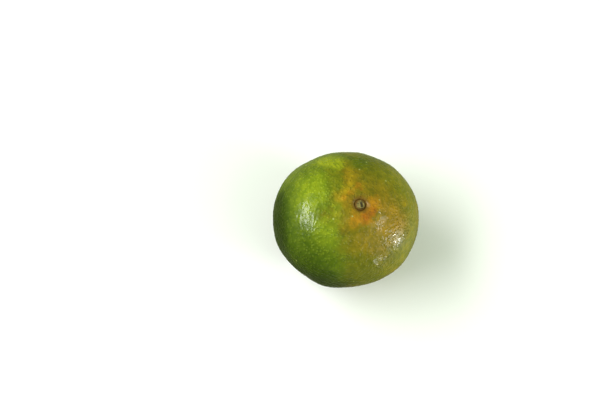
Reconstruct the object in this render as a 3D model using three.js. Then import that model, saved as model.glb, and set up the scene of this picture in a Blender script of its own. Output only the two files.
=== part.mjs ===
// A whole mandarin that stands on its blossom end: the fruit, grown as one body, and the dried stem button in its top.
// Millimetres, +Z up along the stem axis. The origin lies on the ground, under the middle of the fruit.
import * as THREE from "three";
import { ParametricGeometry } from "three/addons/geometries/ParametricGeometry.js";
import { mergeVertices } from "three/addons/utils/BufferGeometryUtils.js";

// Driving dimensions of the fruit
const LONG_RADIUS = 32.7;
const SHORT_RADIUS = 30.2;
const LONG_AXIS_TURN = 9; // degrees from +X
const CROWN_HEIGHT = 26.2; // from the widest level to the top, without the collar
const CROWN_FULLNESS = 2.16; // exponent of the meridian: 2 is an ellipse, more has squarer shoulders
const FOOT_DEPTH = 25.2;
const FOOT_FULLNESS = 2.22;

// The low collar round the stem, off centre and highest on one side, and the dip inside it that leads to the socket
const COLLAR_HEIGHT = 0.95;
const COLLAR_CREST_RADIUS = 6.8;
const COLLAR_END_RADIUS = 12.2;
const COLLAR_OFFSET = 1.6; // from the stem axis to the collar's middle
const COLLAR_HIGH_SIDE = -52; // azimuth in degrees
const COLLAR_LOPSIDED = 0.5;
const CROWN_DIP = 0.55;

// Furrows that run outward from the stem
const FURROW_COUNT = 8;
const FURROW_DEPTH = 0.26;
const FURROW_START_RADIUS = 3.5;
const FURROW_END_RADIUS = 17;
const DEEP_FURROW_START = 122; // azimuth in degrees, beside the collar
const DEEP_FURROW_END = 101; // azimuth in degrees, where it runs out
const DEEP_FURROW_DEPTH = 0.5;
const DEEP_FURROW_WIDTH = 2.3;
const DEEP_FURROW_END_RADIUS = 26;

// The foot: a small flat ring to rest on, round the dimple of the blossom end
const REST_CUT = 0.6; // how much of the lowest point the flat takes off
const DIMPLE_RADIUS = 3.2;
const DIMPLE_DEPTH = 0.8;

// Lumps and dents: azimuth and latitude in degrees, how far each spreads in degrees, and how far it stands out in mm
const LUMPS = [
  { azimuth: 253, latitude: -13, spread: 12, out: 0.75 }, // chin
  { azimuth: 231, latitude: -16, spread: 11, out: -0.5 }, // flat beside the chin
  { azimuth: 143, latitude: -2, spread: 15, out: 0.95 }, // shoulder
  { azimuth: 317, latitude: -6, spread: 17, out: 0.95 }, // shoulder on the far side
  { azimuth: 48, latitude: 68, spread: 9, out: -0.55 }, // dent beside the collar
  { azimuth: 20, latitude: -34, spread: 20, out: 0.5 },
  { azimuth: 104, latitude: -36, spread: 18, out: -0.45 },
];
// Slow waves over the whole peel: the way each runs, its length and height in mm, and its phase
const WAVES = [
  { along: new THREE.Vector3(0.9, 0.3, 0.3), length: 14, height: 0.06, phase: 0.4 },
  { along: new THREE.Vector3(-0.3, 0.9, 0.2), length: 17, height: 0.08, phase: 2.1 },
  { along: new THREE.Vector3(0.6, -0.5, 0.6), length: 11, height: 0.05, phase: 4.4 },
  { along: new THREE.Vector3(0.2, 0.5, -0.8), length: 20, height: 0.08, phase: 1.2 },
];

// The socket that holds the stem button
const SOCKET_RADIUS = 2.65;
const SOCKET_DEPTH = 1.3;
const LIP_WIDTH = 0.25;
const GAP = 0.3; // between the button and the socket, all round

// The stem button: a brown rim, and on it the paler lobed disc where the stalk broke off
const RIM_THICKNESS = 0.5;
const RIM_BEVEL = 0.12;
const DISC_RADIUS = 2.02;
const DISC_SHOULDER = 0.45; // width of the disc's rounded edge
const DISC_HEIGHT = 1.0; // from the button's underside
const LOBE_COUNT = 3;
const LOBE_OUT = 0.15;
const LOBE_TURN = 95; // azimuth in degrees of the first lobe
const SLIT_LENGTH = 1.5;
const SLIT_WIDTH = 0.34;
const SLIT_DEPTH = 0.45;
const SLIT_TURN = 105; // degrees
const SLIT_PLACE = new THREE.Vector2(0.5, 0);
const PIT_RADIUS = 0.3;
const PIT_DEPTH = 0.25;
const PIT_PLACE = new THREE.Vector2(-1.05, 0.35);

// Mesh fineness
const FRUIT_SEGMENTS = 84;
const FRUIT_RINGS = 48;
const RING_CROWDING = 1.25; // more than 1 puts more rings near the stem
const BUTTON_SEGMENTS = 60;
const BUTTON_RINGS = 12;

const { degToRad, lerp, smoothstep } = THREE.MathUtils;

const gauss = (distance, spread) => Math.exp(-((distance / spread) ** 2));

function angleGap(a, b) {
  return Math.atan2(Math.sin(a - b), Math.cos(a - b));
}

// Distance from the axis to the peel at the widest level, in the direction of an azimuth
function equatorRadius(azimuth) {
  const turned = azimuth - degToRad(LONG_AXIS_TURN);
  return 1 / Math.hypot(Math.cos(turned) / LONG_RADIUS, Math.sin(turned) / SHORT_RADIUS);
}

// The plain meridian at polar angle t: the share of the equator's radius, and the height over the widest level
function meridian(t) {
  const upper = t < Math.PI / 2;
  const power = 2 / (upper ? CROWN_FULLNESS : FOOT_FULLNESS);
  const height = upper ? CROWN_HEIGHT : -FOOT_DEPTH;
  return { share: Math.sin(t) ** power, height: height * Math.abs(Math.cos(t)) ** power };
}

function lumps(azimuth, latitude) {
  const here = new THREE.Vector3().setFromSphericalCoords(1, Math.PI / 2 - latitude, azimuth);
  return LUMPS.reduce((sum, lump) => {
    const polar = Math.PI / 2 - degToRad(lump.latitude);
    const centre = new THREE.Vector3().setFromSphericalCoords(1, polar, degToRad(lump.azimuth));
    return sum + lump.out * gauss(here.angleTo(centre), degToRad(lump.spread));
  }, 0);
}

function slowWaves(point) {
  return WAVES.reduce((sum, { along, length, height, phase }) => {
    return sum + height * Math.sin((2 * Math.PI * point.dot(along)) / length + phase);
  }, 0);
}

function collar(point) {
  const highSide = degToRad(COLLAR_HIGH_SIDE);
  const middle = new THREE.Vector2(Math.cos(highSide), Math.sin(highSide)).multiplyScalar(COLLAR_OFFSET);
  const away = middle.distanceTo(new THREE.Vector2(point.x, point.y));
  const outside = 1 - smoothstep(away, COLLAR_CREST_RADIUS, COLLAR_END_RADIUS);
  const inside = 1 - smoothstep(Math.hypot(point.x, point.y), SOCKET_RADIUS, COLLAR_CREST_RADIUS);
  const side = 1 + COLLAR_LOPSIDED * Math.cos(Math.atan2(point.y, point.x) - highSide);
  return COLLAR_HEIGHT * side * outside - CROWN_DIP * inside;
}

function furrows(radius, azimuth) {
  const start = smoothstep(radius, FURROW_START_RADIUS, 2 * FURROW_START_RADIUS);
  const reach = start * (1 - smoothstep(radius, FURROW_START_RADIUS, FURROW_END_RADIUS));
  const wandering = FURROW_COUNT * azimuth + 0.9 * Math.sin(2 * azimuth + 0.6);
  const small = FURROW_DEPTH * reach * (0.5 + 0.5 * Math.cos(wandering)) ** 2;
  const ending = smoothstep(radius, DEEP_FURROW_END_RADIUS / 2, DEEP_FURROW_END_RADIUS);
  const bend = smoothstep(radius, COLLAR_CREST_RADIUS, DEEP_FURROW_END_RADIUS);
  const course = degToRad(lerp(DEEP_FURROW_START, DEEP_FURROW_END, bend));
  const aside = radius * angleGap(azimuth, course);
  const deepReach = start * (1 - ending);
  return small + DEEP_FURROW_DEPTH * deepReach * gauss(aside, DEEP_FURROW_WIDTH);
}

// A point of the peel at polar angle t and an azimuth, in the frame of the widest level
function peelPoint(t, azimuth) {
  const { share, height } = meridian(t);
  const radius = share * equatorRadius(azimuth);
  const latitude = Math.atan2(height, radius);
  const plain = ringPoint({ x: radius, y: height }, azimuth);
  const crown = height > 0 ? collar(plain) - furrows(radius, azimuth) : 0;
  const out = crown + lumps(azimuth, latitude) + slowWaves(plain);
  return plain.addScaledVector(ringPoint({ x: Math.cos(latitude), y: Math.sin(latitude) }, azimuth), out);
}

// Polar angle at which the plain meridian is a given distance from the axis, on the crown
function crownAngle(radius) {
  return Math.asin((radius / SHORT_RADIUS) ** (CROWN_FULLNESS / 2));
}

const FLOOR = -FOOT_DEPTH + REST_CUT;
const LIP_RADIUS = SOCKET_RADIUS + LIP_WIDTH;
const LIP_LEVEL = averageLevel(crownAngle(LIP_RADIUS));
const SOCKET_FLOOR = LIP_LEVEL - SOCKET_DEPTH;

function averageLevel(t) {
  let sum = 0;
  for (let i = 0; i < FRUIT_SEGMENTS; i++) {
    sum += peelPoint(t, (2 * Math.PI * i) / FRUIT_SEGMENTS).z;
  }
  return sum / FRUIT_SEGMENTS;
}

// A closed surface made ring by ring: pointAt gives a ring's point at an azimuth, and ring 0 is the lower pole
function closedSurface(pointAt, segments, rings) {
  const surface = new ParametricGeometry(
    (around, along, target) => {
      const step = Math.round(around * segments) % segments;
      target.copy(pointAt(Math.round(along * rings), (2 * Math.PI * step) / segments));
    },
    segments,
    rings,
  );
  surface.deleteAttribute("normal");
  surface.deleteAttribute("uv");
  const geometry = mergeVertices(surface, 1e-4);
  geometry.computeVertexNormals();
  return geometry;
}

// The point of a meridian, x from the axis and y up, turned to an azimuth
function ringPoint({ x: radius, y: height }, azimuth) {
  return new THREE.Vector3(radius * Math.cos(azimuth), radius * Math.sin(azimuth), height);
}

function fruitGeometry() {
  const socket = [
    new THREE.Vector2(SOCKET_RADIUS, LIP_LEVEL - LIP_WIDTH),
    new THREE.Vector2(SOCKET_RADIUS, SOCKET_FLOOR + LIP_WIDTH),
    new THREE.Vector2(SOCKET_RADIUS - LIP_WIDTH, SOCKET_FLOOR),
    new THREE.Vector2(0, SOCKET_FLOOR),
  ];
  const lipAngle = crownAngle(LIP_RADIUS);
  const pointAt = (ring, azimuth) => {
    if (ring > FRUIT_RINGS) return ringPoint(socket[ring - FRUIT_RINGS - 1], azimuth);
    const down = (1 - ring / FRUIT_RINGS) ** RING_CROWDING;
    return footed(peelPoint(lerp(lipAngle, Math.PI, down), azimuth));
  };
  return closedSurface(pointAt, FRUIT_SEGMENTS, FRUIT_RINGS + socket.length);
}

// Flattens the lowest part of the peel to rest on, and presses the blossom end's dimple into it
function footed(point) {
  if (point.z > FLOOR + DIMPLE_DEPTH) return point;
  const across = Math.hypot(point.x, point.y);
  const dimple = DIMPLE_DEPTH * (1 - smoothstep(across, 0, DIMPLE_RADIUS));
  return point.setZ(Math.max(point.z, FLOOR) + dimple);
}

// The button's top: flat rim, rounded lobed disc, and the slit and pit where the stalk's strands broke off
function buttonTop(point) {
  const azimuth = Math.atan2(point.y, point.x);
  const across = Math.hypot(point.x, point.y);
  const edge = DISC_RADIUS + LOBE_OUT * Math.cos(LOBE_COUNT * (azimuth - degToRad(LOBE_TURN)));
  const disc = 1 - smoothstep(across, edge - DISC_SHOULDER, edge);
  const place = new THREE.Vector2(point.x, point.y);
  const pit = PIT_DEPTH * gauss(place.distanceTo(PIT_PLACE), PIT_RADIUS);
  place.sub(SLIT_PLACE).rotateAround(new THREE.Vector2(), -degToRad(SLIT_TURN));
  const slit = SLIT_DEPTH * gauss(place.x, SLIT_LENGTH / 2) * gauss(place.y, SLIT_WIDTH);
  const height = RIM_THICKNESS + (DISC_HEIGHT - RIM_THICKNESS) * disc - slit - pit;
  return point.setZ(SOCKET_FLOOR + GAP + height);
}

function buttonGeometry() {
  const radius = SOCKET_RADIUS - GAP;
  const base = SOCKET_FLOOR + GAP;
  const side = [
    new THREE.Vector2(0, base),
    new THREE.Vector2(radius - RIM_BEVEL, base),
    new THREE.Vector2(radius, base + RIM_BEVEL),
    new THREE.Vector2(radius, base + RIM_THICKNESS - RIM_BEVEL),
  ];
  const pointAt = (ring, azimuth) => {
    if (ring < side.length) return ringPoint(side[ring], azimuth);
    const inward = 1 - (ring - side.length) / BUTTON_RINGS;
    return buttonTop(ringPoint({ x: (radius - RIM_BEVEL) * inward, y: 0 }, azimuth));
  };
  return closedSurface(pointAt, BUTTON_SEGMENTS, side.length + BUTTON_RINGS);
}

const peel = new THREE.MeshStandardMaterial({ color: 0x7d9120, roughness: 0.42, metalness: 0 });
const driedStem = new THREE.MeshStandardMaterial({ color: 0x8a8052, roughness: 0.85, metalness: 0 });

const fruit = new THREE.Mesh(fruitGeometry(), peel);
fruit.name = "fruit";
const stemButton = new THREE.Mesh(buttonGeometry(), driedStem);
stemButton.name = "stem_button";

// Both meshes are made round the stem axis at the widest level, and the group sets them on the ground
const mandarin = new THREE.Group();
mandarin.add(fruit, stemButton);
const box = new THREE.Box3().setFromObject(fruit);
const middle = box.getCenter(new THREE.Vector3());
for (const mesh of mandarin.children) mesh.position.set(-middle.x, -middle.y, -box.min.z);

export default mandarin;
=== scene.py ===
import math

import bpy
from mathutils import Matrix, Vector


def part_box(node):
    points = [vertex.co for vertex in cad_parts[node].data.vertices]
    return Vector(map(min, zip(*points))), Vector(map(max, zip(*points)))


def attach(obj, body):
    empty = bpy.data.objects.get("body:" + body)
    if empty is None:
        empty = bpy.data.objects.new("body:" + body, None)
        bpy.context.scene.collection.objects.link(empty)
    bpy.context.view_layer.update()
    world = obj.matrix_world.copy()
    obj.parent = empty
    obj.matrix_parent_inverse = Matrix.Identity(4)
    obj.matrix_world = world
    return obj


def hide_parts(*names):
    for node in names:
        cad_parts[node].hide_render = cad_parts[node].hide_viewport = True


# A whole mandarin, green turning orange, that stands on a pale floor. Metres, +Z up along the stem.
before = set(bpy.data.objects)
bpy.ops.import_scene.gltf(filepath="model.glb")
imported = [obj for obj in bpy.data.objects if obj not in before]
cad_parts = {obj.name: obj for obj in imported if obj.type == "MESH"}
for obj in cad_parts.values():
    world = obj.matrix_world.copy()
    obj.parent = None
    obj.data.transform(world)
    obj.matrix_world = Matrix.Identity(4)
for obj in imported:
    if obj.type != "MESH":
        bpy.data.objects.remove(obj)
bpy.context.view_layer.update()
MM = 0.001

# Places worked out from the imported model
FRUIT_LOW, FRUIT_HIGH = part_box("fruit")
FRUIT_CENTRE = (FRUIT_LOW + FRUIT_HIGH) / 2
FRUIT_REACH = (FRUIT_HIGH - FRUIT_LOW) / 2
BUTTON_LOW, BUTTON_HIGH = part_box("stem_button")
STEM = (BUTTON_LOW + BUTTON_HIGH) / 2

# The finer meshes
MERGE_DISTANCE = 0.001 * MM
PEEL_MESH_SIZE = 0.42 * MM
PEEL_SMOOTHING_ROUNDS = 14
BUTTON_MESH_SIZE = 0.06 * MM
BUTTON_SMOOTHING_ROUNDS = 4

# The peel's relief. GLAND_DOME and GLAND_COLOUR_FADE are in spacings.
PEBBLE_SIZE = 3.6 * MM
PEBBLE_HEIGHT = 0.13 * MM
GLAND_SPACING = 1.2 * MM
GLAND_HEIGHT = 0.12 * MM
GLAND_SMOOTHNESS = 0.35
GLAND_DOME = 0.62
GLAND_COLOUR_FADE = (0.12, 0.45)

# Relief that only the materials have. Grain is a share of a gland's dome, and COARSE_RELIEF multiplies both.
PEEL_BUMP = 0.26 * MM
PEEL_GRAIN_SIZE = 0.35 * MM
PEEL_GRAIN = 0.25
COARSE_GRAIN = 0.03
COARSE_RELIEF = 2.0
STEM_BUMP = 0.1 * MM
STEM_GRAIN_SIZE = 0.5 * MM

# Sizes of the markings. SPECK_FADE is in spacings.
PATCH_SIZE = 14 * MM
MOTTLE_SIZE = 2.6 * MM
GLOSS_PATCH_SIZE = 5 * MM
SPECK_SPACING = 4.2 * MM
SPECK_SHARE = 0.3
SPECK_FADE = (0.05, 0.13)

# The edges of strokes: the sizes of their bends and of their fray, and how much more the bends weigh
STROKE_BEND = 9 * MM
STROKE_FRAY = 2.2 * MM
BEND_WEIGHT = 2.4
SHORTEST_STROKE = 0.1 * MM

# How far a noise has to rise for its markings to go from one look to the other
PATCH_EDGE = (0.42, 0.62)
MOTTLE_EDGE = (0.36, 0.64)
GLOSS_EDGE = (0.3, 0.7)
STEM_GRAIN_EDGE = (0.35, 0.65)

# How strongly a marking covers the colour below it
OLIVE_STRENGTH = 0.6
OIL_STRENGTH = 0.03
# Round the cheek's highlight the glands' pale oil is mixed in more strongly, partly as painted sparkle
SPARKLE_OIL_STRENGTH = 0.12
CORK_STRENGTH = 0.85
PINK_SPOT_STRENGTH = 0.6

# The waxy coat, plain and at the foot, and the roughness of the skin below it
COAT_WEIGHT = 0.55
DULL_COAT_WEIGHT = 0.06
PEEL_ROUGHNESS = (0.34, 0.46)

# Round the stem: places, and the distances and heights between which a colour fades
CORK_FADE = (3.6 * MM, 5.2 * MM)
CORK_GRAIN_SIZE = 1.5 * MM
CORK_RAGGEDNESS = 1.0 * MM
RIM_FADE = (2.55 * MM, 3.1 * MM)
NEAR_TOP = (STEM.z - 9 * MM, STEM.z - 5 * MM)
PINK_SPOT = STEM + Vector((3.3, -0.2, 0.3)) * MM
PINK_SPOT_FADE = (0.4 * MM, 1.5 * MM)
PALE_FACE = (BUTTON_LOW.z + 0.62 * MM, BUTTON_LOW.z + 0.95 * MM)
CRACK_RAGGEDNESS = 0.15 * MM

# The camera looks down on the fruit, a little off the stem axis, and is rolled so that the stem leans up and
# right. The middle of the fruit lies at FRUIT_PIXEL in the 600 x 400 frame.
VIEW_AZIMUTH = -45
VIEW_ELEVATION = 70
VIEW_ROLL = 45
VIEW_DISTANCE = 630 * MM
LENS = 85
SENSOR = 36
FRAME_WIDTH = 600
FRAME_HEIGHT = 400
FRUIT_PIXEL = (346.6, 218.9)

# Peel colours, linear
OLIVE = (0.146, 0.134, 0.004, 1)
DARK_OLIVE = (0.132, 0.140, 0.004, 1)
OLIVE_GREEN = (0.146, 0.154, 0.004, 1)
OLIVE_YELLOW = (0.255, 0.240, 0.010, 1)
GREEN = (0.120, 0.170, 0.005, 1)
LIME = (0.240, 0.315, 0.008, 1)
MOSS = (0.155, 0.180, 0.005, 1)
DARK_GREEN = (0.085, 0.122, 0.003, 1)
# The next two are the cheek's green darkened with painted shade, towards the left edge and the foot
CHEEK_GREEN_AND_PAINTED_SHADE = (0.058, 0.104, 0.002, 1)
GREEN_PAINTED_SHADE = (0.018, 0.034, 0.001, 1)
YELLOW_GREEN = (0.280, 0.325, 0.009, 1)
YELLOW = (0.335, 0.240, 0.006, 1)
OCHRE = (0.320, 0.190, 0.005, 1)
TAN = (0.235, 0.142, 0.006, 1)
ORANGE = (0.390, 0.185, 0.006, 1)
RUST = (0.290, 0.095, 0.004, 1)
GLAND_LIGHT = (0.300, 0.330, 0.020, 1)
SPECK_PALE = (0.380, 0.400, 0.120, 1)
CORK = (0.145, 0.080, 0.009, 1)
SPOT_PINK = (0.420, 0.240, 0.085, 1)
# the scar's brown, darkened with painted shade of the groove round the stem button
SCAR_BROWN_AND_PAINTED_SHADE = (0.120, 0.060, 0.005, 1)

# Tints that the peel's colour is multiplied by: of the mottle, and greys of painted shade in the gaps and of
# painted light on the glands, plain and stronger round the cheek's highlight
MOTTLE_DARK = (0.83, 0.88, 0.86, 1)
MOTTLE_LIGHT = (1.18, 1.13, 1.15, 1)
GAP_PAINTED_SHADE = (0.93, 0.93, 0.93, 1)
SPARKLE_GAP_PAINTED_SHADE = (0.84, 0.84, 0.84, 1)
GLAND_PAINTED_LIGHT = (1.08, 1.08, 1.08, 1)
SPARKLE_GLAND_PAINTED_LIGHT = (1.2, 1.2, 1.2, 1)

# Stem colours, linear
STEM_TAN = (0.12, 0.090, 0.018, 1)
STEM_PALE = (0.28, 0.225, 0.058, 1)
CRACK_BROWN = (0.035, 0.024, 0.002, 1)

# The studio: the floor's size in metres, and colours, linear
FLOOR_SIZE = 8
FLOOR_SEEN = (0.9, 0.9, 0.9, 1)
FLOOR_THROWN_BACK = (0.33, 0.35, 0.20, 1)
SKY_LOW = (0.29, 0.36, 0.15, 1)
SKY_HIGH = (0.28, 0.37, 0.23, 1)
WHITE = (1, 1, 1)
WARM_WHITE = (1, 0.97, 0.8)

# Where glands get painted light and shade round the cheek's highlight, where the peel is coarser, and the
# duller peel of the foot: azimuth and latitude of both ends in degrees, reach in mm, softness as a share of
# the reach, raggedness in mm
GLAND_SPARKLE_AREA = ((152, 36), (-146, 38), 21, 0.8, 5)
COARSE_PEEL = ((-47, 37), (-28, 41), 8.5, 0.6, 3)
DULL_FOOT = (((178, -8), (-128, -12), 23, 0.6, 3), ((-128, -12), (-60, -12), 21, 0.6, 3))

# Strokes of colour from the first laid on to the last: colour, azimuth and latitude of both ends in degrees,
# reach in mm, softness as a share of the reach, raggedness in mm, strength
STROKES = (
    (OLIVE_GREEN, (55, 36), (100, 20), 17, 0.8, 5, 0.85),  # the far upper side
    (DARK_OLIVE, (-100, 30), (-72, 6), 14, 0.9, 5, 0.85),  # the near lower side
    (OLIVE_YELLOW, (35, 25), (-42, 16), 16, 0.9, 5, 0.85),  # the side that turned first
    (OCHRE, (-12, 66), (-22, 50), 12, 0.9, 5, 0.8),
    (GREEN, (146, 8), (-140, 8), 26, 0.3, 5, 1.0),  # the cheek that is still green
    (LIME, (176, 38), (150, 40), 12, 0.9, 5, 0.8),
    (LIME, (-148, 49), (-137, 44), 9, 0.9, 4, 0.65),
    (CHEEK_GREEN_AND_PAINTED_SHADE, (178, 9), (-124, 12), 18, 0.8, 4, 0.9),  # painted shade: the cheek's green darkens towards the foot
    (GREEN_PAINTED_SHADE, (178, -12), (-110, -14), 22, 0.7, 4, 0.95),  # painted shade on the foot below the cheek
    # painted shade along the left edge
    (GREEN_PAINTED_SHADE, (174, 6), (-166, 4), 10, 0.8, 3, 0.85),
    (DARK_GREEN, (98, 41), (86, 41), 7, 0.8, 4, 0.8),  # beyond the deep furrow
    (DARK_GREEN, (150, -50), (60, -30), 20, 0.8, 6, 0.8),  # the shaded back
    (MOSS, (118, 46), (136, 61), 5.5, 0.7, 3, 0.85),  # between the furrow and the cheek
    (YELLOW_GREEN, (-172, 66), (-142, 63), 4, 0.9, 4, 0.45),
    (YELLOW_GREEN, (121, 28), (114, 39), 6.5, 0.8, 3, 0.85),  # streak at the upper edge
    (YELLOW, (101, 42), (101, 57), 2.8, 0.9, 3, 0.4),  # along the deep furrow
    (YELLOW, (101, 57), (112, 68), 3, 0.9, 3, 0.7),
    (YELLOW, (114, 69), (156, 69), 3.8, 0.9, 3, 0.85),
    (TAN, (60, 86), (150, 84), 6, 0.8, 3, 0.75),  # round the stem
    (ORANGE, (150, 74), (102, 71), 2.4, 0.9, 3, 0.6),
    (RUST, (95, 70), (85, 74), 2.6, 0.9, 3, 0.75),
    (OCHRE, (-40, 66), (-48, 58), 5, 0.9, 3, 0.6),
    (ORANGE, (-112, 75.5), (-57, 77), 5.6, 0.8, 4, 0.85),  # the blush below the stem
    (ORANGE, (-57, 78), (2, 77), 5.8, 0.8, 4, 0.9),
    (RUST, (-70, 76.5), (-28, 75.5), 4, 0.8, 3, 0.85),
    (YELLOW, (8, 43), (8, 43), 5, 0.9, 3, 0.7),
    (YELLOW_GREEN, (20, -70), (-60, -75), 12, 0.9, 5, 0.5),  # round the blossom end
    (CORK, (0, -90), (0, -90), 2, 0.6, 1, 0.9),  # its scar
)

# Dark cracks in the stem's end: both ends in mm from its middle, and their reach in mm
STEM_CRACKS = (
    ((0.2, 0.9), (0.6, -0.75), 1.05),
    ((0.6, -0.75), (0.62, -1.5), 0.5),
    ((-1.2, 0.45), (-1.15, 0.25), 0.75),
)


# Places and meshes

def way_to(azimuth, elevation):
    """The unit vector towards an azimuth and an elevation in degrees."""
    a = math.radians(azimuth)
    b = math.radians(elevation)
    return Vector((math.cos(b) * math.cos(a), math.cos(b) * math.sin(a), math.sin(b)))


def place_on_peel(azimuth, latitude):
    """A point near the surface, from an azimuth and a latitude in degrees seen from the fruit's middle."""
    way = way_to(azimuth, latitude)
    reach = Vector((way.x / FRUIT_REACH.x, way.y / FRUIT_REACH.y, way.z / FRUIT_REACH.z)).length
    return FRUIT_CENTRE + way * (1.0 / reach)


def only(piece):
    """Selects this object alone and makes it the active one."""
    bpy.ops.object.select_all(action="DESELECT")
    piece.select_set(True)
    bpy.context.view_layer.objects.active = piece


def settle(piece):
    """Applies every modifier of a piece, in order, and shades it smooth."""
    only(piece)
    for name in [m.name for m in piece.modifiers]:
        bpy.ops.object.modifier_apply(modifier=name)
    bpy.ops.object.shade_smooth()


def copy_of(node, name):
    """A merged copy of a CAD node's mesh, as the start of a finer piece."""
    piece = bpy.data.objects.new(name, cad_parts[node].data.copy())
    bpy.context.scene.collection.objects.link(piece)
    piece.data.materials.clear()
    only(piece)
    bpy.ops.object.mode_set(mode="EDIT")
    bpy.ops.mesh.select_all(action="SELECT")
    bpy.ops.mesh.remove_doubles(threshold=MERGE_DISTANCE)
    bpy.ops.object.mode_set(mode="OBJECT")
    return piece


def even_out(piece, mesh_size, smoothing_rounds):
    """Gives a piece even small faces and smooths away the facets of the CAD mesh."""
    remesh = piece.modifiers.new("even mesh", "REMESH")
    remesh.mode = "VOXEL"
    remesh.voxel_size = mesh_size
    smooth = piece.modifiers.new("smoothed facets", "SMOOTH")
    smooth.factor = 0.5
    smooth.iterations = smoothing_rounds


# Node building

def put(tree, kind, settings=None, **inputs):
    """Adds a node with its settings and its named inputs: a socket is linked, anything else is a value."""
    made = tree.nodes.new(kind)
    for key, value in (settings or {}).items():
        setattr(made, key, value)
    for key, value in inputs.items():
        plug_in(tree, made.inputs[key.replace("_", " ")], value)
    return made


def plug_in(tree, socket, value):
    if isinstance(value, bpy.types.NodeSocket):
        tree.links.new(value, socket)
    else:
        socket.default_value = value


def math_of(tree, operation, *values):
    made = tree.nodes.new("ShaderNodeMath")
    made.operation = operation
    for socket, value in zip(made.inputs, values):
        plug_in(tree, socket, value)
    return made.outputs[0]


def vector_of(tree, operation, *values):
    made = tree.nodes.new("ShaderNodeVectorMath")
    made.operation = operation
    for socket, value in zip(made.inputs, values):
        plug_in(tree, socket, value)
    return made.outputs["Value" if operation in ("LENGTH", "DISTANCE", "DOT_PRODUCT") else "Vector"]


def scaled(tree, vector, factor):
    return put(tree, "ShaderNodeVectorMath", {"operation": "SCALE"}, Vector=vector, Scale=factor).outputs[0]


def ease(tree, value, start, end, low=0.0, high=1.0):
    """Goes smoothly from low to high while the value goes from start to end."""
    made = put(
        tree, "ShaderNodeMapRange", {"interpolation_type": "SMOOTHSTEP"},
        Value=value, From_Min=start, From_Max=end, To_Min=low, To_Max=high,
    )
    return made.outputs["Result"]


def blend(tree, factor, first, second, mode="MIX"):
    made = tree.nodes.new("ShaderNodeMix")
    made.data_type = "RGBA"
    made.blend_type = mode
    plug_in(tree, made.inputs[0], factor)
    plug_in(tree, made.inputs[6], first)
    plug_in(tree, made.inputs[7], second)
    return made.outputs[2]


def noise(tree, place, size, detail, output="Fac"):
    made = put(tree, "ShaderNodeTexNoise", Vector=place, Scale=1 / size, Detail=detail)
    return made.outputs[output]


def cells(tree, place, size, feature):
    return put(tree, "ShaderNodeTexVoronoi", {"feature": feature}, Vector=place, Scale=1 / size)


def object_place(tree):
    return tree.nodes.new("ShaderNodeTexCoord").outputs["Object"]


def height_of(tree, place):
    return put(tree, "ShaderNodeSeparateXYZ", Vector=place).outputs["Z"]


def new_group(name, inputs, outputs):
    """A shader node group, from the names and kinds of its sockets. Each use has to give all its inputs."""
    tree = bpy.data.node_groups.new(name, "ShaderNodeTree")
    for side, sockets in (("INPUT", inputs), ("OUTPUT", outputs)):
        for label, kind in sockets.items():
            tree.interface.new_socket(label, in_out=side, socket_type="NodeSocket" + kind)
    return tree, tree.nodes.new("NodeGroupInput").outputs, tree.nodes.new("NodeGroupOutput").inputs


def use_group(tree, group, **inputs):
    return put(tree, "ShaderNodeGroup", {"node_tree": group}, **inputs).outputs


def new_material(name):
    material = bpy.data.materials.new(name)
    material.use_nodes = True
    tree = material.node_tree
    return material, tree, tree.nodes["Principled BSDF"]


# Shared effects

def make_stroke_group():
    """A ragged stroke of colour from one place to another: 1 along its middle and 0 past its reach."""
    tree, given, out = new_group(
        "ragged stroke",
        {"Start": "Vector", "End": "Vector", "Reach": "Float", "Softness": "Float", "Raggedness": "Float"},
        {"Mask": "Float"},
    )
    place = object_place(tree)
    course = vector_of(tree, "SUBTRACT", given["End"], given["Start"])
    from_start = vector_of(tree, "SUBTRACT", place, given["Start"])
    length = math_of(tree, "MAXIMUM", vector_of(tree, "LENGTH", course), SHORTEST_STROKE)
    square = math_of(tree, "POWER", length, 2.0)
    along = math_of(tree, "DIVIDE", vector_of(tree, "DOT_PRODUCT", from_start, course), square)
    share = put(tree, "ShaderNodeClamp", Value=along).outputs[0]
    away = vector_of(tree, "DISTANCE", from_start, scaled(tree, course, share))
    bend = math_of(tree, "SUBTRACT", noise(tree, place, STROKE_BEND, 3.0), 0.5)
    fray = math_of(tree, "SUBTRACT", noise(tree, place, STROKE_FRAY, 3.0), 0.5)
    stray = math_of(tree, "ADD", math_of(tree, "MULTIPLY", bend, BEND_WEIGHT), fray)
    ragged = math_of(tree, "MULTIPLY_ADD", stray, given["Raggedness"], away)
    inner = math_of(tree, "MULTIPLY", given["Reach"], math_of(tree, "SUBTRACT", 1.0, given["Softness"]))
    plug_in(tree, out["Mask"], ease(tree, ragged, inner, given["Reach"], 1.0, 0.0))
    return tree


def gland_distance(tree, place):
    """How far each point of the peel is from the nearest oil gland, in spacings, for mesh and colour."""
    stray = noise(tree, place, 2 * GLAND_SPACING, 1.0, "Color")
    shift = vector_of(tree, "MULTIPLY_ADD", stray, (GLAND_SPACING,) * 3, (-0.5 * GLAND_SPACING,) * 3)
    found = cells(tree, vector_of(tree, "ADD", place, shift), GLAND_SPACING, "SMOOTH_F1")
    found.inputs["Smoothness"].default_value = GLAND_SMOOTHNESS
    return found.outputs["Distance"]


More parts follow.
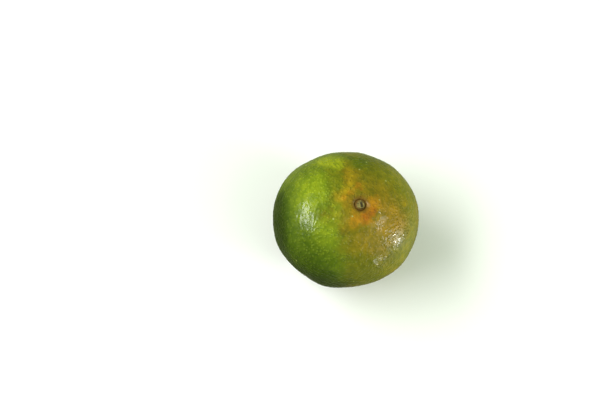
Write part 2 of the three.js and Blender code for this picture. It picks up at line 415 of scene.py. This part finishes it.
def make_gland_group():
    """The oil glands of the peel: a relief height, and masks of the glands and of stray pale specks."""
    tree, given, out = new_group(
        "oil glands", {"Grain": "Float"}, {"Height": "Float", "Gland": "Float", "Speck": "Float"}
    )
    place = object_place(tree)
    away = gland_distance(tree, place)
    dome = ease(tree, away, 0.0, GLAND_DOME, 1.0, 0.0)
    fine = noise(tree, place, PEEL_GRAIN_SIZE, 2.0)
    plug_in(tree, out["Height"], math_of(tree, "MULTIPLY_ADD", fine, given["Grain"], dome))
    plug_in(tree, out["Gland"], ease(tree, away, *GLAND_COLOUR_FADE, 1.0, 0.0))
    speck = cells(tree, place, SPECK_SPACING, "F1")
    close = ease(tree, speck.outputs["Distance"], *SPECK_FADE, 1.0, 0.0)
    chance = put(tree, "ShaderNodeSeparateColor", Color=speck.outputs["Color"]).outputs[0]
    rare = math_of(tree, "LESS_THAN", chance, SPECK_SHARE)
    plug_in(tree, out["Speck"], math_of(tree, "MULTIPLY", close, rare))
    return tree


RAGGED_STROKE = make_stroke_group()
OIL_GLANDS = make_gland_group()


# Peel

def stroke_mask(tree, start, end, reach, softness, ragged):
    """The mask of a stroke whose ends are given as azimuth and latitude, and its sizes in mm."""
    return use_group(
        tree, RAGGED_STROKE, Start=place_on_peel(*start), End=place_on_peel(*end),
        Reach=reach * MM, Softness=softness, Raggedness=ragged * MM,
    )["Mask"]


def stroke_colours(tree, place):
    """An olive ground with faint ochre patches, and the strokes laid over it."""
    patches = ease(tree, noise(tree, place, PATCH_SIZE, 3.0), *PATCH_EDGE)
    colour = blend(tree, OLIVE_STRENGTH, blend(tree, patches, OLIVE, OCHRE), OLIVE)
    for tint, *course, strength in STROKES:
        mask = stroke_mask(tree, *course)
        colour = blend(tree, math_of(tree, "MULTIPLY", mask, strength), colour, tint)
    return colour


def mottled(tree, place, colour):
    mottle = ease(tree, noise(tree, place, MOTTLE_SIZE, 4.0), *MOTTLE_EDGE)
    return blend(tree, 1.0, colour, blend(tree, mottle, MOTTLE_DARK, MOTTLE_LIGHT), "MULTIPLY")


def with_glands(tree, glands, colour):
    """Paler glands and darker gaps between them, clearest on the green cheek, and the specks over both.

    The glands' oil is paler in its own colour; the greys over it are painted light on the glands and painted
    shade in the gaps, strongest where the cheek's highlight sparkles.
    """
    clear = stroke_mask(tree, *GLAND_SPARKLE_AREA)
    gap_painted_shade = blend(tree, clear, GAP_PAINTED_SHADE, SPARKLE_GAP_PAINTED_SHADE)
    gland_painted_light = blend(tree, clear, GLAND_PAINTED_LIGHT, SPARKLE_GLAND_PAINTED_LIGHT)
    colour = blend(tree, 1.0, colour, blend(tree, glands["Gland"], gap_painted_shade, gland_painted_light), "MULTIPLY")
    oil = ease(tree, clear, 0.0, 1.0, OIL_STRENGTH, SPARKLE_OIL_STRENGTH)
    colour = blend(tree, math_of(tree, "MULTIPLY", glands["Gland"], oil), colour, GLAND_LIGHT)
    return blend(tree, glands["Speck"], colour, SPECK_PALE)


def stem_scar(tree, place, colour):
    """Corky brown peel round the stem button, with a pale pink spot, and a dark rim inside it.

    The rim is the scar's brown, darkened with painted shade of the groove round the button.
    """
    flat_place = vector_of(tree, "MULTIPLY", place, (1, 1, 0))
    from_stem = vector_of(tree, "DISTANCE", flat_place, (STEM.x, STEM.y, 0))
    near_top = ease(tree, height_of(tree, place), *NEAR_TOP)
    crumbs = noise(tree, place, CORK_GRAIN_SIZE, 3.0)
    stray = math_of(tree, "MULTIPLY_ADD", crumbs, CORK_RAGGEDNESS, from_stem)
    cork = math_of(tree, "MULTIPLY", ease(tree, stray, *CORK_FADE, CORK_STRENGTH, 0.0), near_top)
    colour = blend(tree, cork, colour, CORK)
    # a pale pink spot beside the stem
    from_spot = vector_of(tree, "DISTANCE", place, PINK_SPOT)
    pink_spot_mask = ease(tree, from_spot, *PINK_SPOT_FADE, PINK_SPOT_STRENGTH, 0.0)
    colour = blend(tree, pink_spot_mask, colour, SPOT_PINK)
    # the dark rim inside the groove: the scar's brown with painted shade
    brown = math_of(tree, "MULTIPLY", ease(tree, from_stem, *RIM_FADE, 1.0, 0.0), near_top)
    return blend(tree, brown, colour, SCAR_BROWN_AND_PAINTED_SHADE)


def wax(tree, shader, place):
    """The waxy coat of the peel, dull at the foot, over a skin with patches of more and less gloss."""
    roughness = ease(tree, noise(tree, place, GLOSS_PATCH_SIZE, 3.0), *GLOSS_EDGE, *PEEL_ROUGHNESS)
    plug_in(tree, shader.inputs["Roughness"], roughness)
    shader.inputs["Specular IOR Level"].default_value = 0.1
    dull = math_of(tree, "MAXIMUM", *(stroke_mask(tree, *course) for course in DULL_FOOT))
    coat = ease(tree, dull, 0.0, 1.0, COAT_WEIGHT, DULL_COAT_WEIGHT)
    plug_in(tree, shader.inputs["Coat Weight"], coat)
    shader.inputs["Coat Roughness"].default_value = 0.18
    shader.inputs["Coat IOR"].default_value = 1.4


def make_peel():
    material, tree, shader = new_material("mandarin peel")
    place = object_place(tree)
    coarse = stroke_mask(tree, *COARSE_PEEL)
    grain = ease(tree, coarse, 0.0, 1.0, PEEL_GRAIN, COARSE_GRAIN)
    glands = use_group(tree, OIL_GLANDS, Grain=grain)
    colour = mottled(tree, place, stroke_colours(tree, place))
    colour = stem_scar(tree, place, with_glands(tree, glands, colour))
    plug_in(tree, shader.inputs["Base Color"], colour)
    wax(tree, shader, place)
    relief = math_of(tree, "MULTIPLY", glands["Height"], ease(tree, coarse, 0.0, 1.0, 1.0, COARSE_RELIEF))
    bump = put(tree, "ShaderNodeBump", Height=relief, Strength=1.0, Distance=PEEL_BUMP)
    plug_in(tree, shader.inputs["Normal"], bump.outputs["Normal"])
    return material


def raise_glands(piece):
    """Raises oil glands on the mesh, where the material's mask has them too, but not below the floor."""
    tree = bpy.data.node_groups.new("raised glands", "GeometryNodeTree")
    tree.interface.new_socket("Geometry", in_out="INPUT", socket_type="NodeSocketGeometry")
    tree.interface.new_socket("Geometry", in_out="OUTPUT", socket_type="NodeSocketGeometry")
    given = tree.nodes.new("NodeGroupInput").outputs
    out = tree.nodes.new("NodeGroupOutput").inputs
    place = tree.nodes.new("GeometryNodeInputPosition").outputs[0]
    normal = tree.nodes.new("GeometryNodeInputNormal").outputs[0]
    dome = ease(tree, gland_distance(tree, place), 0.0, GLAND_DOME, GLAND_HEIGHT, 0.0)
    raised = vector_of(tree, "ADD", place, scaled(tree, normal, dome))
    above_floor = vector_of(tree, "MAXIMUM", raised, (-1, -1, 0))
    moved = put(tree, "GeometryNodeSetPosition", Geometry=given[0], Position=above_floor).outputs[0]
    plug_in(tree, out[0], moved)
    piece.modifiers.new("raised glands", "NODES").node_group = tree


def raise_pebbles(piece):
    pebbles = bpy.data.textures.new("pebbles", "CLOUDS")
    pebbles.noise_scale = PEBBLE_SIZE
    pebbles.noise_depth = 1
    raised = piece.modifiers.new("pebbles", "DISPLACE")
    raised.texture = pebbles
    raised.texture_coords = "LOCAL"
    raised.strength = PEBBLE_HEIGHT
    raised.mid_level = 0.75


def build_fruit():
    """The finer fruit: the CAD body with its facets smoothed, pebbled and set with glands."""
    piece = copy_of("fruit", "mandarin_fruit")
    even_out(piece, PEEL_MESH_SIZE, PEEL_SMOOTHING_ROUNDS)
    raise_pebbles(piece)
    raise_glands(piece)
    settle(piece)
    piece.data.materials.append(make_peel())
    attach(piece, "root")
    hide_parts("fruit")


# Stem button

def make_dried_stem():
    """Weathered wood with dark cracks in its face, brown with painted shade at the foot, in the groove."""
    material, tree, shader = new_material("dried stem")
    place = object_place(tree)
    grain = noise(tree, place, STEM_GRAIN_SIZE, 4.0)
    face = blend(tree, ease(tree, grain, *STEM_GRAIN_EDGE), STEM_TAN, STEM_PALE)
    # the foot, down in the groove, is brown with painted shade
    colour = blend(tree, ease(tree, height_of(tree, place), *PALE_FACE), SCAR_BROWN_AND_PAINTED_SHADE, face)
    for start, end, reach in STEM_CRACKS:
        crack = use_group(
            tree, RAGGED_STROKE, Start=STEM + Vector((*start, 0)) * MM, End=STEM + Vector((*end, 0)) * MM,
            Reach=reach * MM, Softness=0.6, Raggedness=CRACK_RAGGEDNESS,
        )
        colour = blend(tree, crack["Mask"], colour, CRACK_BROWN)
    plug_in(tree, shader.inputs["Base Color"], colour)
    shader.inputs["Roughness"].default_value = 0.8
    bump = put(tree, "ShaderNodeBump", Height=grain, Strength=0.5, Distance=STEM_BUMP)
    plug_in(tree, shader.inputs["Normal"], bump.outputs["Normal"])
    return material


def build_stem_button():
    piece = copy_of("stem_button", "mandarin_stem_button")
    even_out(piece, BUTTON_MESH_SIZE, BUTTON_SMOOTHING_ROUNDS)
    settle(piece)
    piece.data.materials.append(make_dried_stem())
    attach(piece, "root")
    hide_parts("stem_button")


# The studio

def build_floor():
    """A floor that the camera sees as white, and that throws less light back, tinted green."""
    bpy.ops.object.select_all(action="DESELECT")
    bpy.ops.mesh.primitive_plane_add(size=FLOOR_SIZE, location=(0, 0, 0))
    floor = bpy.context.object
    floor.name = "floor"
    material, tree, shader = new_material("pale floor")
    seen = tree.nodes.new("ShaderNodeLightPath").outputs["Is Camera Ray"]
    plug_in(tree, shader.inputs["Base Color"], blend(tree, seen, FLOOR_THROWN_BACK, FLOOR_SEEN))
    shader.inputs["Roughness"].default_value = 0.9
    shader.inputs["Specular IOR Level"].default_value = 0.1
    floor.data.materials.append(material)


def soft_light(
    name, azimuth, elevation, distance, width, height, power, shades=True, mirrored=True, tint=WHITE
):
    """An area light that faces the fruit. It shades the fruit, is mirrored in its peel, or both.

    Its azimuth and elevation are in degrees, its distance, width and height in metres and its power in watts.
    """
    way = way_to(azimuth, elevation)
    data = bpy.data.lights.new(name, "AREA")
    data.shape = "RECTANGLE"
    data.size = width
    data.size_y = height
    data.energy = power
    data.color = tint
    light = bpy.data.objects.new(name, data)
    light.location = FRUIT_CENTRE + way * distance
    light.rotation_euler = way.to_track_quat("Z", "Y").to_euler()
    light.visible_diffuse = shades
    light.visible_glossy = mirrored
    bpy.context.scene.collection.objects.link(light)


def build_sky():
    """Even light from all round, a little yellower low down than overhead."""
    world = bpy.data.worlds.new("studio")
    world.use_nodes = True
    tree = world.node_tree
    way = tree.nodes.new("ShaderNodeTexCoord").outputs["Generated"]
    sky = blend(tree, ease(tree, height_of(tree, way), 0.0, 0.9), SKY_LOW, SKY_HIGH)
    plug_in(tree, tree.nodes["Background"].inputs["Color"], sky)
    bpy.context.scene.world = world


def build_lights():
    """Lights that shade the fruit and aren't mirrored in it, and others that only show as reflections."""
    soft_light("key box", 172, 38, 1.7, 1.9, 0.75, 43, mirrored=False)
    soft_light("key window", 176, 31, 1.7, 0.85, 0.34, 19, shades=False)
    soft_light("side fill", -30, 42, 1.7, 1.4, 1.4, 8.5, mirrored=False)
    soft_light("low window", -21, 13, 1.0, 0.34, 0.3, 5.8, mirrored=False)
    soft_light("low gleam", -21, 13, 1.0, 0.34, 0.3, 10.0, shades=False, tint=WARM_WHITE)
    soft_light("bright pane", -20, 8, 0.8, 0.06, 0.05, 2.3, shades=False)
    soft_light("high pane", -28, 31, 0.8, 0.09, 0.06, 0.45, shades=False)
    soft_light("upper pane", 12, 48, 0.8, 0.06, 0.06, 0.6, shades=False)
    soft_light("near pane", -48, 2, 0.8, 0.12, 0.04, 0.6, shades=False)


def build_camera():
    """The camera, rolled, and turned aside so that the fruit lies where FRUIT_PIXEL says."""
    a = math.radians(VIEW_AZIMUTH)
    e = math.radians(VIEW_ELEVATION)
    back = Vector((math.sin(a) * math.cos(e), -math.cos(a) * math.cos(e), math.sin(e)))
    level_right = Vector((0, 0, 1)).cross(back).normalized()
    level_up = back.cross(level_right)
    roll = math.radians(VIEW_ROLL)
    right = level_right * math.cos(roll) + level_up * math.sin(roll)
    up = level_up * math.cos(roll) - level_right * math.sin(roll)
    metres_per_pixel = VIEW_DISTANCE * SENSOR / LENS / FRAME_WIDTH
    aside = (FRUIT_PIXEL[0] - FRAME_WIDTH / 2) * metres_per_pixel
    below = (FRUIT_PIXEL[1] - FRAME_HEIGHT / 2) * metres_per_pixel
    eye = FRUIT_CENTRE + back * VIEW_DISTANCE
    target = FRUIT_CENTRE - right * aside + up * below
    look = (target - eye).normalized()
    across = look.cross(up).normalized()
    upward = across.cross(look)
    data = bpy.data.cameras.new("camera")
    data.lens = LENS
    data.sensor_width = SENSOR
    camera = bpy.data.objects.new("camera", data)
    turn = Matrix((across, upward, -look)).transposed().to_4x4()
    camera.matrix_world = Matrix.Translation(eye) @ turn
    bpy.context.scene.collection.objects.link(camera)
    bpy.context.scene.camera = camera


build_camera()
build_floor()
build_sky()
build_lights()
build_fruit()
build_stem_button()
bpy.context.scene.view_settings.view_transform = "Standard"
